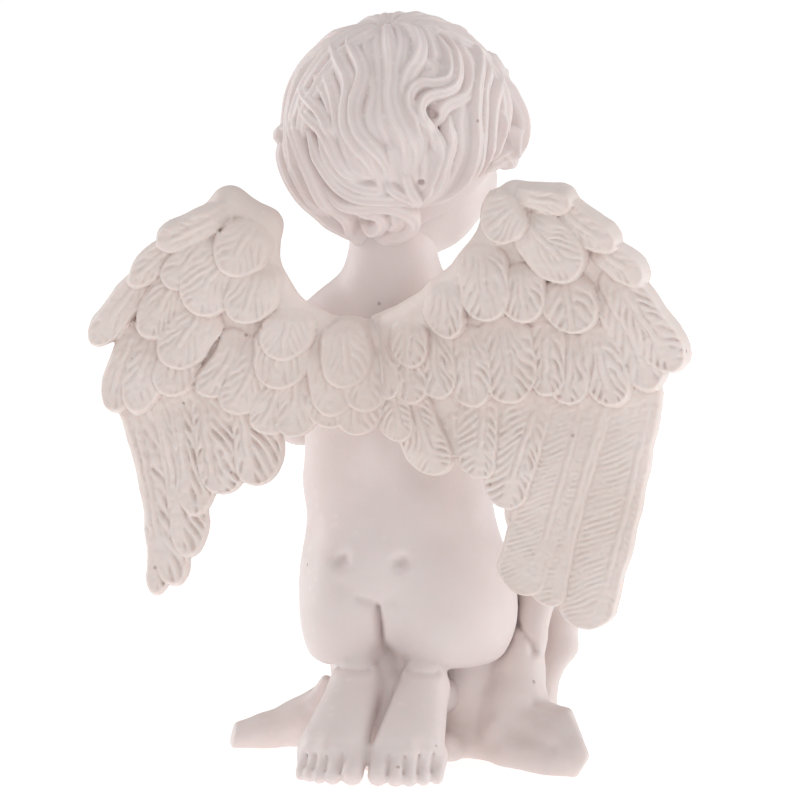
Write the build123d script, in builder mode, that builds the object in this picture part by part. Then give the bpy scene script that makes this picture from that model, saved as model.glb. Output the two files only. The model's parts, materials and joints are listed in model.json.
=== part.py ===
from build123d import *

import os
from math import cos, radians, sin

# A kneeling cherub figurine in cold-cast resin, about a hand's breadth tall.
#
# Seven castings are bonded together. The body carries round sockets, and the arms and the
# wings each have a moulded tenon that is glued into one. The head sits down over the neck's
# own tenon. The body kneels on the drapery casting, which spreads over the ground and is
# drawn up across the lap.
#
# +Z is up and the figure faces -Y, so +X is its left-hand side. Everything is drawn about
# the figure's own upright axis, then moved once, so that the origin is under the middle of
# the finished figurine's box.

# Driving dimensions, mm.
AXIS_AT = (1.7, 2.7, 0)  # where the figure's upright axis stands in the finished part
HIP_SWAY = -2.3  # how far the hips and the knees are moved over, here to the figure's right
TENON_LENGTH = 6.0
ARM_TENON_RADIUS = 1.8
ARM_TENON_FROM = (13.0, -1.5, 50.5)  # where the left arm's tenon starts, inside the arm
ARM_TENON_LENGTH = 7.0
WING_TENON_RADIUS = 2.2
NECK_RADIUS = 5.2
NECK_TOP = 67.0
NECK_TENON_RADIUS = 3.4
GLUE_GAP = 0.05  # all round a tenon, and at its end
PALM_GAP = 0.03  # from the plane where the two palms meet to each palm
CLOTH_SLAB = 4.2  # the cloth's thickness under the shins, which bed into it
CLOTH_EDGE = 2.4  # its thickness at the corner beside the left knee
LAP_CLOTH = 1.7  # its thickness over the thighs
LAP_BACK = -3.5  # where the cloth over the thighs begins, y
WING_FRONT = 1.3  # the wing's thickness in front of its middle surface
LAYER_STEP = 0.75  # how far each row of feathers stands on the one under it
ROOT_WIDTH = 0.7  # a feather's width at its root, as a share of its full width
TIP_LENGTH = 0.55  # the length of its round tip, as a share of its width

# Landmarks, mm, given for the left side as (x, y, z). The right side mirrors them.
HIP = (6.8, 2.5, 18.5)
KNEE = (7.0, -19.0, 10.4)
THIGH_RADII = (8.6, 6.4)  # at the hip and at the knee
SHIN_TOP = (7.0, -18.5, 8.2)
ANKLE = (4.6, 9.0, 8.2)
HEEL = (4.4, 11.0, 8.8)
BALL = (4.9, 19.0, 3.6)
SHOULDER = (10.6, -0.8, 54.0)
ELBOW = (13.3, -6.5, 42.8)
WRIST = (2.3, -15.8, 50.0)
FINGERS = (1.0, -17.6, 58.4)
WING_ROOT = (4.8, 9.0, 52.5)

# The head, whose own x, y and z are measured from its centre and turn with it.
HEAD_CENTRE = (-0.9, -1.6, 81.2)
HEAD_TURN = -30  # degrees about the upright, towards the figure's right

# The wings' middle surface, seen from above: x outwards and y backwards at three places.
WING_SWEEP = ((0.0, 9.4), (20.0, 16.4), (42.0, 11.0))

# Each row of feathers: how many, the first, middle and last root, the first, middle and last
# tip as (x outwards, z), and the feathers' width. The rows run from the lowest layer up.
LEFT_ROWS = (
    (4, ((31, 50), (27, 50), (23, 50)), ((29.4, 21.5), (26, 24), (22.5, 28.5)), 5.6),
    (5, ((22, 51), (14, 51), (5, 53)), ((20.5, 36.5), (15, 37.5), (9, 42)), 6.4),
    (7, ((31, 60), (19, 60), (3, 57)), ((34, 46.5), (18, 47), (2.6, 46)), 6.8),
    (6, ((29, 67), (20, 67), (8, 61)), ((37, 55.2), (24, 53.5), (10, 53)), 6.8),
    (4, ((21, 73), (17, 72), (14, 69)), ((29, 64), (22, 60.5), (12, 57.5)), 7.0),
)
LEFT_ARM_OUTLINE = (
    (0, 45.5), (0, 59.4), (6, 59.8), (10.5, 61.5), (13.2, 66), (12.6, 71.5),
    (15, 75.4), (19.3, 76.4), (24, 73.4), (29, 67), (31, 58), (28, 49), (10, 45.5),
)
RIGHT_ROWS = (
    (4, ((35, 52), (28, 52), (21, 51)), ((29.6, 20), (24.5, 21.8), (17.5, 26)), 8.0),
    (4, ((18, 52), (11, 52), (4, 52)), ((14.5, 36.8), (9, 39.4), (3, 45)), 6.6),
    (6, ((35, 62), (20, 62), (3, 60)), ((37, 52.5), (22, 49.2), (3.3, 49.5)), 7.2),
    (5, ((31, 69), (20, 69), (8, 64)), ((40.4, 56), (24, 58.5), (8, 57)), 7.4),
    (4, ((20, 75), (17, 74), (14.5, 70)), ((31, 67.5), (23, 66), (12, 63)), 7.0),
)
RIGHT_ARM_OUTLINE = (
    (0, 45.5), (0, 59.4), (4, 60.4), (9, 65.5), (11.6, 70.5), (12.8, 75), (15.5, 77.9),
    (19, 78.4), (24, 75.6), (29, 70.6), (34, 64), (36, 56), (35, 49), (14, 44.5),
)

# The drapery's outline on the ground, and its corner beside the left knee.
SLAB_OUTLINE = (
    (0, 3), (-12, 4), (-19, 1), (-22, -8), (-19, -20), (-12, -27),
    (-2, -28.5), (9, -27), (14.5, -20), (15.5, -9), (12, 2),
)
CORNER_OUTLINE = ((9, -9), (20.5, -0.6), (21.4, 1.6), (20, 2.6), (9, 3.2))


def on_side(point, side, sway=0.0):
    """The landmark on the figure's left, side 1, or right, side -1, moved over by its sway."""
    return (side * point[0] + sway, point[1], point[2])


def in_head(x, y, z):
    """A point given in the head's own frame, where the face looks along -y."""
    return Vector(x, y, z).rotate(Axis.Z, HEAD_TURN) + Vector(*HEAD_CENTRE)


def in_head_ball(x, y, z, radius):
    """A station for a chain of limbs, given in the head's own frame."""
    return (*in_head(x, y, z), radius)


def square_to(direction):
    """A direction at right angles to the given one."""
    reference = Vector(0, 0, 1) if abs(direction.normalized().Z) < 0.9 else Vector(1, 0, 0)
    return direction.cross(reference)


def limb(start, end, start_radius, end_radius):
    """Adds a taper with two round ends, turned about the line from start to end."""
    start = Vector(*start)
    along = Vector(*end) - start
    length = along.length
    with BuildSketch(Plane(origin=start, x_dir=along, z_dir=square_to(along))) as half:
        with BuildLine():
            Line((-start_radius, 0), (length + end_radius, 0))
            CenterArc((length, 0), end_radius, 0, 90)
            Line((length, end_radius), (0, start_radius))
            CenterArc((0, 0), start_radius, 90, 90)
        make_face()
    revolve(half.sketch, axis=Axis(start, along))


def chain(*stations):
    """Adds a run of limbs through stations of (x, y, z, radius)."""
    for a, b in zip(stations, stations[1:]):
        limb(a[:3], b[:3], a[3], b[3])


def ball(centre, radius):
    """Adds a sphere."""
    with Locations(Vector(*centre)):
        Sphere(radius)


def peg(start, towards, radius, length, mode=Mode.ADD):
    """A round tenon, or with Mode.SUBTRACT its socket, from start along towards."""
    plane = Plane(origin=start, z_dir=towards)
    with BuildSketch(plane) as section:
        Circle(radius)
    extrude(section.sketch, amount=length, dir=plane.z_dir, mode=mode)


def arm_tenon(side, gap=0.0, mode=Mode.ADD):
    """The arm's tenon below the shoulder, which points in towards the spine."""
    start = on_side(ARM_TENON_FROM, side)
    peg(start, (-side, 0, 0), ARM_TENON_RADIUS + gap, ARM_TENON_LENGTH + gap, mode)


def wing_tenon(side, gap=0.0, mode=Mode.ADD):
    """The wing's tenon, which points forward into the back."""
    peg(on_side(WING_ROOT, side), (0, -1, 0), WING_TENON_RADIUS + gap, TENON_LENGTH + gap, mode)


def neck_tenon(gap=0.0, mode=Mode.ADD):
    """The neck's upright tenon, which the head sits down over."""
    peg((0, 0, NECK_TOP), (0, 0, 1), NECK_TENON_RADIUS + gap, TENON_LENGTH + gap, mode)


def add_trunk_half(side):
    """Adds one side of the trunk: the seat, the flank, the shoulder and half of the neck."""
    low, high = (6.0, 6.2, 18.6), (5.4, 5.2, 22.5)
    limb(on_side(low, side, HIP_SWAY), on_side(high, side, HIP_SWAY), 8.4, 8.0)
    chain(
        on_side((4.6, 0.8, 21), side, HIP_SWAY) + (8.8,),
        on_side((4.3, -0.6, 38), side) + (7.2,),
        on_side((4.9, 0.0, 52.6), side) + (7.0,),
        (0.0, 0.4, 60.0, 5.4),
    )


def add_leg(side):
    """Adds a folded leg: the thigh forward to the knee, and the shin back under it."""
    limb(on_side(HIP, side, HIP_SWAY), on_side(KNEE, side, HIP_SWAY), *THIGH_RADII)
    limb(on_side(SHIN_TOP, side, HIP_SWAY), on_side(ANKLE, side, HIP_SWAY / 2), 4.4, 3.6)


def add_foot(side):
    """Adds a foot, heel up and toes on the ground, with its five toes."""
    limb(on_side(HEEL, side, HIP_SWAY / 2), on_side(BALL, side), 3.4, 3.2)
    limb(on_side((3.4, 18.6, 3.3), side), on_side((6.4, 17.8, 3.2), side), 3.2, 2.9)
    for toe in range(5):
        out = 1.5 + 1.75 * toe
        back = 22.4 - 0.22 * toe**2
        radius = 1.35 - 0.09 * toe
        start = on_side((out, back - 2.6, 2.2), side)
        limb(start, on_side((out, back, radius), side), radius, radius)


def add_arm(side):
    """Adds an arm, bent so that its flat hand meets the other one before the chest."""
    limb(on_side(SHOULDER, side), on_side(ELBOW, side), 4.4, 3.4)
    limb(on_side(ELBOW, side), on_side(WRIST, side), 3.4, 2.2)
    limb(on_side(WRIST, side), on_side(FINGERS, side), 2.2, 1.3)


def cut_palm(side):
    """Cuts the hand flat where its palm meets the other one."""
    plane = Plane.YZ.offset(PALM_GAP * side)
    split(bisect_by=plane, keep=Keep.TOP if side > 0 else Keep.BOTTOM)


def add_skull():
    """Adds the head without its hair: the skull, the face, the cheeks, the chin and the nose."""
    limb(in_head(0, 0.6, -1), in_head(0, 0, 1), 14.2, 14.0)
    limb(in_head(0, -4.6, -4), in_head(0, -5.2, -7.4), 10.2, 9.2)
    for side in (1, -1):
        ball(in_head(4.6 * side, -9.4, -6.6), 4.8)
    ball(in_head(0, -9.6, -13.0), 3.9)
    limb(in_head(0, -14.4, -2.0), in_head(0, -15.4, -5.2), 1.2, 1.7)


def add_hair():
    """Adds the hair: one round mass, with a roll over each ear and one along the nape."""
    limb(in_head(0.4, 2.6, -1.2), in_head(0, 1.2, 0.9), 14.4, 14.8)
    chain(
        in_head_ball(12, -5, -6, 3.4),
        in_head_ball(12.6, -1, 2, 4.4),
        in_head_ball(8, 2, 10, 4.6),
    )
    chain(
        in_head_ball(-11.6, -4.6, -6.4, 3.0),
        in_head_ball(-12.6, 0.5, 1.6, 4.3),
        in_head_ball(-7, 3, 10.2, 4.4),
    )
    chain(
        in_head_ball(8, 9, -9.6, 3.4),
        in_head_ball(-0.6, 12.6, -9, 3.8),
        in_head_ball(-8.4, 9, -9.2, 3.4),
    )


def quadratic(points, t):
    """The point at t, from 0 to 1, on the smooth line through three points."""
    first, middle, last = (Vector(*point) for point in points)
    return first * (2 * (t - 0.5) * (t - 1)) - middle * (4 * t * (t - 1)) + last * (2 * t * (t - 0.5))


def feather(root, tip, width):
    """Adds one feather's flat outline to a sketch: narrow at its root, with a round tip."""
    along = (tip - root).normalized()
    out = Vector(-along.Y, along.X) * (width / 2)
    neck = tip - along * (TIP_LENGTH * width)
    with BuildLine() as edge:
        Line(root + out * ROOT_WIDTH, neck + out)
        ThreePointArc(neck + out, tip, neck - out)
        Line(neck - out, root - out * ROOT_WIDTH)
        Line(root - out * ROOT_WIDTH, root + out * ROOT_WIDTH)
    make_face(edge.edges())


def sweep_band(back):
    """The curved sheet that a row of feathers is cut from, back behind the middle surface."""
    with BuildPart() as band:
        with BuildSketch() as section:
            with BuildLine():
                front_face = ThreePointArc(*(Vector(x, y - WING_FRONT) for x, y in WING_SWEEP))
                back_face = ThreePointArc(*(Vector(x, y + back) for x, y in WING_SWEEP))
                Line(front_face @ 0, back_face @ 0)
                Line(front_face @ 1, back_face @ 1)
            make_face()
        extrude(section.sketch, amount=90)
    return band.part


def feather_plates(rows, arm_outline, side):
    """One curved plate for each row of feathers, each standing a little behind the last."""
    plates = []
    for layer, (count, roots, tips, width) in enumerate(rows):
        with BuildPart() as plate:
            with BuildSketch(Plane.XZ) as outline:
                for n in range(count):
                    t = n / (count - 1)
                    feather(quadratic(roots, t), quadratic(tips, t), width)
                if layer < 2:
                    with BuildLine() as arm:
                        Polyline(*arm_outline, close=True)
                    make_face(arm.edges())
            extrude(outline.sketch, amount=40, dir=(0, 1, 0))
            add(sweep_band(LAYER_STEP * (layer + 1)), mode=Mode.INTERSECT)
        plates.append(plate.part if side > 0 else mirror(plate.part, about=Plane.YZ))
    return plates


def add_wing(plates, side, back):
    """Adds a wing's plates and the boss that meets the back, and cuts them to the back."""
    add(plates)
    limb(on_side((4.4, 9.2, 51.5), side), on_side((9.0, 11.0, 56.5), side), 4.2, 4.0)
    add(back, mode=Mode.SUBTRACT)
    wing_tenon(side)


def lap_cloth():
    """The cloth over both thighs and between them, cut off where it meets the belly."""
    with BuildPart() as lap:
        hip_radius, knee_radius = (radius + LAP_CLOTH for radius in THIGH_RADII)
        for side in (1, -1):
            hip, knee = (on_side(place, side, HIP_SWAY) for place in (HIP, KNEE))
            limb(hip, knee, hip_radius, knee_radius)
        limb((HIP_SWAY, -6, 20), (HIP_SWAY, -20, 12), 8, 8)
        split(bisect_by=Plane.XZ.offset(-LAP_BACK), keep=Keep.TOP)
    return lap.part


def add_ground_cloth():
    """Adds the cloth that lies on the ground, with its corner and its rolled edge."""
    with BuildSketch() as slab:
        with BuildLine():
            Spline(*SLAB_OUTLINE, periodic=True)
        make_face()
    extrude(slab.sketch, amount=CLOTH_SLAB)
    with BuildSketch() as corner:
        with BuildLine():
            Polyline(*CORNER_OUTLINE, close=True)
        make_face()
    extrude(corner.sketch, amount=CLOTH_EDGE)
    limb((10, -3, 4), (17.5, -0.2, 1.4), 3.0, 1.4)
    chain((-11, -2, 3.2, 3.6), (-17, 1.5, 3.2, 3.4), (-23.6, 7.5, 3.0, 3.2), (-23, 10.8, 2.2, 2.6))


def add_folds():
    """Adds the folds that hang from the lap to the ground."""
    for x in (-10.4, -2.1, 5.8):
        chain((x, -20.4, 13, 4.8), (1.1 * x + 0.6, -25, 7, 3.4), (1.2 * x, -26.6, 2.4, 2.6))
    chain((-14.6, -10.2, 19.2, 4.2), (-20.2, -9.0, 11.0, 3.0), (-22, -8.8, 3.4, 3.4))
    chain((-17.0, -4, 20.5, 1.8), (-18.2, -2.6, 14, 2.4), (-19.5, 0.5, 7.5, 3.0), (-20.5, 4, 3.4, 3.2))


print("part.py: body", flush=True)
with BuildPart() as body:
    for side in (1, -1):
        add_trunk_half(side)
        add_leg(side)
        add_foot(side)
    limb((0, 0.4, 58), (0, 0, 63), 5.8, NECK_RADIUS)
    peg((0, 0, 63), (0, 0, 1), NECK_RADIUS, NECK_TOP - 63)
    figure = body.part  # before its sockets are cut, to shape what is bonded to it
    for side in (1, -1):
        arm_tenon(side, GLUE_GAP, Mode.SUBTRACT)
        wing_tenon(side, GLUE_GAP, Mode.SUBTRACT)
    neck_tenon()

print("part.py: head", flush=True)
with BuildPart() as head:
    add_skull()
    add_hair()
    add(figure, mode=Mode.SUBTRACT)
    neck_tenon(GLUE_GAP, Mode.SUBTRACT)

print("part.py: arms", flush=True)
with BuildPart() as left_arm:
    add_arm(1)
    add(figure, mode=Mode.SUBTRACT)
    cut_palm(1)
    arm_tenon(1)

with BuildPart() as right_arm:
    add_arm(-1)
    add(figure, mode=Mode.SUBTRACT)
    cut_palm(-1)
    arm_tenon(-1)

print("part.py: wings", flush=True)
left_plates = feather_plates(LEFT_ROWS, LEFT_ARM_OUTLINE, 1)
with BuildPart() as left_wing:
    add_wing(left_plates, 1, figure)

right_plates = feather_plates(RIGHT_ROWS, RIGHT_ARM_OUTLINE, -1)
with BuildPart() as right_wing:
    add_wing(right_plates, -1, figure)

print("part.py: drapery", flush=True)
lap = lap_cloth()
with BuildPart() as drapery:
    add(lap)
    add_folds()
    add_ground_cloth()
    split(bisect_by=Plane.XY, keep=Keep.TOP)
    add(figure, mode=Mode.SUBTRACT)

pieces = {
    "body": body,
    "head": head,
    "left_arm": left_arm,
    "right_arm": right_arm,
    "left_wing": left_wing,
    "right_wing": right_wing,
    "drapery": drapery,
}
os.makedirs("parts", exist_ok=True)
for name, piece in pieces.items():
    solid = piece.part.moved(Location(AXIS_AT))
    solid.label = name
    export_step(solid, f"parts/{name}.step")
    print(name, solid.is_valid, len(solid.solids()), round(solid.volume, 1))
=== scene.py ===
"""The looks of a kneeling cherub figurine in cast resin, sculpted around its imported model.

Each piece is modelled as clay: a block of space that holds signed distances, where forms are
added, blended and carved, and whose surface becomes the piece's mesh. The clay is worked in
the figure's own frame, in millimetres: +Z is up, the figure faces -Y, and +X is its left.
"""

import json
from collections import namedtuple
from math import atan2, cos, degrees, radians, sin

import bpy
import numpy as np
import openvdb
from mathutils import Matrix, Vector


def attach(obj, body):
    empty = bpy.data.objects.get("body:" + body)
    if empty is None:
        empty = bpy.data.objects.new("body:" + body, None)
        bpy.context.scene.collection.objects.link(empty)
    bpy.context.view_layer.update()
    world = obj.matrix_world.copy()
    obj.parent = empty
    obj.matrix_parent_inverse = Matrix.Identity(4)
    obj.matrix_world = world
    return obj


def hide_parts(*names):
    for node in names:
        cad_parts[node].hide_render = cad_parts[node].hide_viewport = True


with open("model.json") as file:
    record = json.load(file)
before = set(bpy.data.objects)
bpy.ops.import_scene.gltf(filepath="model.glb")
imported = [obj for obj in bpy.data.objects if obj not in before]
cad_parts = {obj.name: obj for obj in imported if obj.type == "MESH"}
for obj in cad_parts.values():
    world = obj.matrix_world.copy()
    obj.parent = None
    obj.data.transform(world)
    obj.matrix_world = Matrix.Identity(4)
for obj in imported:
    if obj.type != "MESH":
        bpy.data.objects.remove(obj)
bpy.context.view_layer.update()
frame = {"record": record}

MM = 0.001
AXIS_BEHIND = 12.0  # how far the figure's upright axis stands behind the middle of its rest, mm
rest_at = np.array(frame["record"]["mounts"][0]["pos_m"])
AXIS_AT = rest_at / MM + (0, AXIS_BEHIND, 0)  # where the axis stands in the model, mm
FAR = 5.0  # what clay holds where nothing is near, mm
BACK_Y = 30  # behind everything, mm

CAMERA_AZIMUTH = 188  # degrees round from the front
CAMERA_ELEVATION = 10
CAMERA_DISTANCE = 1.2  # m
VIEW_ACROSS = 0.104  # what the frame takes in at the figure, m
SENSOR = 36  # mm

WING_VOXEL = 0.18  # voxel sizes, mm
FINE = 0.2
MIDDLE = 0.28
COARSE = 0.34


# ---------------------------------------------------------------- clay


def smooth_min(a, b, blend):
    """The smaller of two fields, rounded off over the given distance where they meet."""
    share = np.clip(0.5 + 0.5 * (b - a) / blend, 0, 1)
    return b + (a - b) * share - blend * share * (1 - share)


def smooth_max(a, b, blend):
    """The larger of two fields, rounded off in the same way."""
    return -smooth_min(-a, -b, blend)


def smooth_step(value):
    """An even rise from 0 to 1, flat at both ends."""
    value = np.clip(value, 0, 1)
    return value * value * (3 - 2 * value)


def limb_distance(x, y, z, start, end, start_radius, end_radius):
    """The distance to a taper with round ends, and how far along it each point lies."""
    axis = np.subtract(end, start)
    length2 = max(float(axis @ axis), 1e-9)
    dx, dy, dz = x - start[0], y - start[1], z - start[2]
    t = np.clip((dx * axis[0] + dy * axis[1] + dz * axis[2]) / length2, 0, 1)
    gap = np.sqrt((dx - t * axis[0]) ** 2 + (dy - t * axis[1]) ** 2 + (dz - t * axis[2]) ** 2)
    return gap - (start_radius + (end_radius - start_radius) * t), t


def turned(axes, about_x=0, about_z=0):
    """Offsets seen in a frame that is turned about x, then z, in degrees."""
    dx, dy, dz = axes
    if about_z:
        c, s = cos(radians(about_z)), sin(radians(about_z))
        dx, dy = c * dx + s * dy, c * dy - s * dx
    if about_x:
        c, s = cos(radians(about_x)), sin(radians(about_x))
        dy, dz = c * dy + s * dz, c * dz - s * dy
    return dx, dy, dz


def view_axes():
    """The directions that the camera sees as right and up, and the one back towards it."""
    a, e = radians(CAMERA_AZIMUTH), radians(CAMERA_ELEVATION)
    back = np.array((sin(a) * cos(e), -cos(a) * cos(e), sin(e)))
    right = np.array((cos(a), sin(a), 0))
    return right, np.cross(back, right), back


def smooth_path(points, steps=5):
    """A Catmull-Rom curve through the points."""
    points = np.array(points, float)
    padded = np.vstack((2 * points[0] - points[1], points, 2 * points[-1] - points[-2]))
    path = []
    for n in range(len(points) - 1):
        p0, p1, p2, p3 = padded[n : n + 4]
        for step in range(steps):
            t = step / steps
            path.append(0.5 * (
                2 * p1 + (p2 - p0) * t + (2 * p0 - 5 * p1 + 4 * p2 - p3) * t**2
                + (3 * p1 - p0 - 3 * p2 + p3) * t**3
            ))
    path.append(points[-1])
    return np.array(path)


class Clay:
    """A block of space that holds one piece as signed distances, negative inside it."""

    def __init__(self, low, high, voxel):
        self.voxel = voxel
        self.low = np.array(low, float)
        self.size = np.ceil((np.array(high) - self.low) / voxel).astype(int) + 1
        self.field = np.full(self.size, FAR, np.float32)

    def window(self, low, high):
        """The index of the voxels between two corners, and their x, y and z."""
        first = np.floor((np.array(low) - self.low) / self.voxel)
        last = np.ceil((np.array(high) - self.low) / self.voxel) + 1
        first, last = (np.clip(n, 0, self.size).astype(int) for n in (first, last))
        index = tuple(slice(a, b) for a, b in zip(first, last))
        x, y, z = (
            (self.low[n] + self.voxel * np.arange(first[n], last[n])).astype(np.float32)
            for n in range(3)
        )
        return index, x[:, None, None], y[None, :, None], z[None, None, :]

    def everywhere(self):
        """The window that holds the whole block."""
        return self.window(self.low, self.low + self.size * self.voxel)

    def around(self, points, reach):
        """The window that holds all the points with the given reach round them."""
        points = np.array(points, float)
        return self.window(points.min(axis=0) - reach, points.max(axis=0) + reach)

    def join(self, index, distance, blend):
        """Adds a shape, given as distances in a window."""
        self.field[index] = smooth_min(self.field[index], distance, blend)

    def carve(self, index, distance, blend):
        """Takes a shape away."""
        self.field[index] = smooth_max(self.field[index], -distance, blend)

    def limb(self, start, end, start_radius, end_radius, blend=1.0, cut=False):
        """Adds a taper between two points, or carves it."""
        reach = max(start_radius, end_radius) + 2 * blend
        index, x, y, z = self.around((start, end), reach)
        distance, _ = limb_distance(x, y, z, start, end, start_radius, end_radius)
        (self.carve if cut else self.join)(index, distance, blend)

    def chain(self, stations, blend):
        """Adds a run of tapers through stations of (x, y, z, radius)."""
        for a, b in zip(stations, stations[1:]):
            self.limb(a[:3], b[:3], a[3], b[3], blend)

    def roll(self, stations, blend):
        """Adds a run of tapers as one shape, which doesn't swell where they meet."""
        index, x, y, z = self.around(stations[:, :3], stations[:, 3].max() + 2 * blend)
        spans = [
            limb_distance(x, y, z, a[:3], b[:3], a[3], b[3])[0]
            for a, b in zip(stations, stations[1:])
        ]
        self.join(index, np.min(spans, axis=0), blend)

    def egg(self, centre, radii, blend, about_x=0, about_z=0, cut=False):
        """Adds an ellipsoid, turned by degrees about x or z, or carves it."""
        index, x, y, z = self.around([centre], max(radii) + 2 * blend)
        axes = x - centre[0], y - centre[1], z - centre[2]
        dx, dy, dz = turned(axes, about_x, about_z)
        near = np.sqrt((dx / radii[0]) ** 2 + (dy / radii[1]) ** 2 + (dz / radii[2]) ** 2)
        slope = np.sqrt(
            (dx / radii[0] ** 2) ** 2 + (dy / radii[1] ** 2) ** 2 + (dz / radii[2] ** 2) ** 2
        )
        distance = near * (near - 1) / np.maximum(slope, 1e-6)
        (self.carve if cut else self.join)(index, distance, blend)

    def crease(self, points, width, depth, from_back=False):
        """Presses a soft crease along a line, or from the back whatever the line's y is."""
        for start, end in zip(points, points[1:]):
            reach = 2.6 * width
            index, x, y, z = self.around((start, end), reach)
            if from_back:
                index, x, y, z = self.around((start, end, (start[0], BACK_Y, start[2])), reach)
                y, start, end = 0 * y, (start[0], 0, start[2]), (end[0], 0, end[2])
            gap, _ = limb_distance(x, y, z, start, end, 0, 0)
            dent = depth * np.exp(-((gap / width) ** 2))
            np.maximum(self.dents[index], dent, out=self.dents[index])

    def begin_creases(self):
        """Creases are gathered apart, so that a line's spans don't add up where they meet."""
        self.dents = np.zeros_like(self.field)

    def end_creases(self):
        """Presses the gathered creases in."""
        self.field += self.dents
        del self.dents

    def cut_beyond(self, low, high, point, normal, blend):
        """Cuts off what lies beyond a plane, within a box."""
        index, x, y, z = self.window(low, high)
        normal = np.array(normal) / np.linalg.norm(normal)
        over = (x - point[0]) * normal[0]
        over = over + (y - point[1]) * normal[1] + (z - point[2]) * normal[2]
        self.carve(index, -over.astype(np.float32), blend)

    def cut_below(self, height):
        """Cuts the clay flat at a height."""
        _, _, _, z = self.everywhere()
        self.field = np.maximum(self.field, height - z)

    def mesh(self, name, side=1, bend=None):
        """The clay's surface as a piece in the model's frame, mirrored if its side is -1."""
        for axis in range(3):
            wall = [slice(None)] * 3
            for end in (0, -1):
                wall[axis] = end
                self.field[tuple(wall)] = np.maximum(self.field[tuple(wall)], self.voxel)
        grid = openvdb.FloatGrid(FAR)
        grid.copyFromArray(np.clip(self.field, -FAR, FAR))
        points, quads = grid.convertToQuads(isovalue=0.0)
        points = points * self.voxel + self.low
        if bend is not None:
            points = bend(points)
        piece = mesh_piece(name, (points * (side, 1, 1) + AXIS_AT) * MM, quads)
        if side < 0:
            piece.data.flip_normals()
        return piece


def mesh_piece(name, points, quads):
    """A piece from arrays of corners and four-sided faces, with smooth shading."""
    mesh = bpy.data.meshes.new(name)
    mesh.vertices.add(len(points))
    mesh.vertices.foreach_set("co", points.astype(np.float32).ravel())
    mesh.loops.add(quads.size)
    mesh.loops.foreach_set("vertex_index", quads.astype(np.int32).ravel())
    mesh.polygons.add(len(quads))
    mesh.polygons.foreach_set("loop_start", np.arange(0, quads.size, 4, dtype=np.int32))
    mesh.update(calc_edges=True)
    mesh.validate()
    mesh.polygons.foreach_set("use_smooth", np.ones(len(mesh.polygons), bool))
    piece = bpy.data.objects.new(name, mesh)
    bpy.context.scene.collection.objects.link(piece)
    return piece


# ---------------------------------------------------------------- the body


LEFT_HEEL, RIGHT_HEEL = 3.2, 5.6  # how far to its side each heel and ankle lies, mm


def sculpt_body():
    """The trunk and the neck, the thighs, the shins that are folded under them, and the feet."""
    clay = Clay((-22, -29, -1), (20, 30, 74), COARSE)
    sculpt_trunk(clay)
    left_hip, left_knee = (4.4, 1.5, 18.6), (5.4, -17.8, 9.6)
    right_hip, right_knee = (-8.6, 1.0, 19.6), (-12.0, -17.4, 10.4)
    clay.limb(left_hip, left_knee, 6.0, 4.8, 2.5)
    clay.limb(right_hip, right_knee, 7.2, 5.6, 2.5)
    for side, knee, ankle in ((1, 5.8, LEFT_HEEL), (-1, 11.4, RIGHT_HEEL)):
        clay.limb((knee * side, -17, 7), (ankle * side, 8, 8.4), 4.2, 2.2, 1.2)
    clay.limb((-1.4, 4.4, 12.9), (-0.4, 13.0, 2.6), 4.0, 2.4, 1.0)  # what joins the two feet
    sculpt_foot(clay, 1, LEFT_HEEL, LEFT_TOES)
    sculpt_foot(clay, -1, RIGHT_HEEL, RIGHT_TOES)
    press_creases(clay)
    clay.cut_below(0)
    return clay.mesh("cherub_body")


def sculpt_trunk(clay):
    """From the seat, which spreads to the figure's right, up to the neck."""
    seat_bottom = 12.7
    clay.egg((-7.9, 3.6, 19.4), (8.9, 8.7, 9.8), 3)
    clay.egg((4.7, 4.0, 19.2), (6.7, 8.5, 9.8), 3)
    clay.egg((-1.8, 1.0, 25.5), (13.1, 9.4, 10.5), 4)
    _, _, _, z = clay.everywhere()
    clay.field = smooth_max(clay.field, seat_bottom - z, 1.6)
    clay.egg((-0.9, -1.0, 35), (12.0, 8.6, 13), 4)
    clay.limb((4.8, -1.0, 47), (4.8, -0.6, 36.5), 6.0, 6.2, 3)
    clay.egg((-0.2, -0.6, 46.5), (11.3, 7.6, 12), 3)
    clay.limb((-7.2, -0.2, 54.0), (7.4, -0.2, 54.0), 4.6, 4.6, 3)
    clay.limb((-0.2, 0.8, 57), (-0.2, 0, 71), 6.4, 5.4, 4.5)
    for side in (1, -1):
        neck, slope = (-0.2, 0.2, 62.5, 4.6), (6.0 * side, 0, 58.4, 3.2)
        clay.chain((neck, slope, (10.4 * side, -0.4, 55.6, 3.4)), 3)
    clay.egg((0, -1.5, 24), (10.0, 9.2, 7.5), 3)


# Toes from the big one out, as (across, back at the tip, radius), mm.
LEFT_TOES = (
    (1.7, 26.0, 1.5), (4.2, 25.6, 1.1), (6.0, 25.2, 0.9), (7.4, 24.4, 0.84), (8.6, 23.4, 0.8),
)
RIGHT_TOES = (
    (1.7, 25.8, 1.4), (4.0, 25.8, 1.15), (5.8, 25.4, 0.98), (7.5, 24.6, 0.92), (9.1, 23.6, 0.88),
)


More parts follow.
